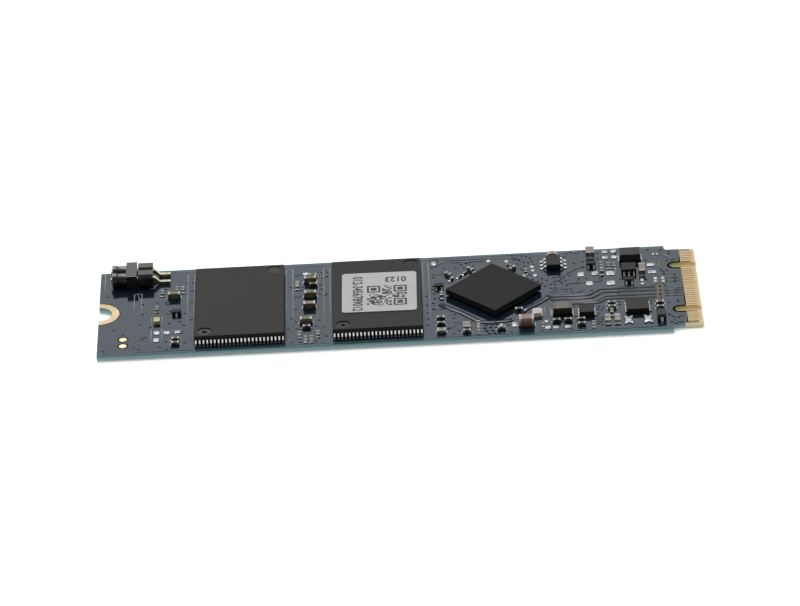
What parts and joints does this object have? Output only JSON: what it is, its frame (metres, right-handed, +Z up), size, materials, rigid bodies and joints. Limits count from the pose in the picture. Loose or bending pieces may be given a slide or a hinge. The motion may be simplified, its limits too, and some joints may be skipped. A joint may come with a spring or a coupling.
{
  "type": "solid state drive",
  "caption": "Gumstick solid state drive card with flash packages, a turned controller, a jumpered pin header and a gold contact edge with two key notches.",
  "frame": {"origin": "middle of the board's underside", "axes": "+X towards the contact edge, +Y across the board, +Z up out of the side that carries the parts"},
  "size_m": [0.08, 0.022, 0.0028],
  "materials": {
    "solder_mask": "gloss solder mask over glass laminate",
    "gold_plate": "satin gold plating",
    "mould": "matt black moulding compound",
    "tinned": "tinned lead frame",
    "solder": "bright solder",
    "label_paper": "matt paper label",
    "package_laminate": "dark green laminate edge",
    "black_plastic": "satin black plastic",
    "lens": "milky yellow resin",
    "led_board": "pale green laminate",
    "brown_ceramic": "dark brown ceramic",
    "olive_ceramic": "olive brown ceramic",
    "pink_ceramic": "pinkish brown ceramic",
    "tan_ceramic": "tan ceramic",
    "resistor_ceramic": "black glaze on ceramic",
    "ferrite": "brown ferrite with a tan top",
    "cream_ceramic": "cream ceramic"
  },
  "bodies": {
    "root": {"circuit_board": "solder_mask", "contact_pads": "gold_plate", "screw_land": "gold_plate", "test_pads": "gold_plate", "through_vias": "gold_plate", "flash_chip_a": "mould", "flash_leads_a": "tinned", "flash_chip_b": "mould", "flash_leads_b": "tinned", "product_label": "label_paper", "controller_cap": "mould", "controller_base": "package_laminate", "controller_balls": "solder", "header_block": "black_plastic", "header_pins": "gold_plate", "shunt_shell": "black_plastic", "shunt_clip": "gold_plate", "led_base": "led_board", "led_lens": "lens", "small_capacitors": "brown_ceramic", "medium_capacitors": "olive_ceramic", "large_capacitor": "pink_ceramic", "chip_resistors": "resistor_ceramic", "tiny_chips": "tan_ceramic", "light_chips": "tan_ceramic", "brown_inductor": "ferrite", "power_inductor": "mould", "chip_ends": "tinned", "crystal_base": "cream_ceramic", "crystal_lid": "cream_ceramic", "regulator_body": "mould", "regulator_leads": "tinned", "switch_body": "mould", "switch_leads": "tinned", "transistor_bodies": "mould", "transistor_leads": "tinned", "diode_body": "mould", "diode_leads": "tinned", "qfn_package": "mould", "dfn_package": "mould", "flat_terminals": "tinned", "solder_fillets": "solder", "solder_mounds": "solder"}
  },
  "joints": []
}
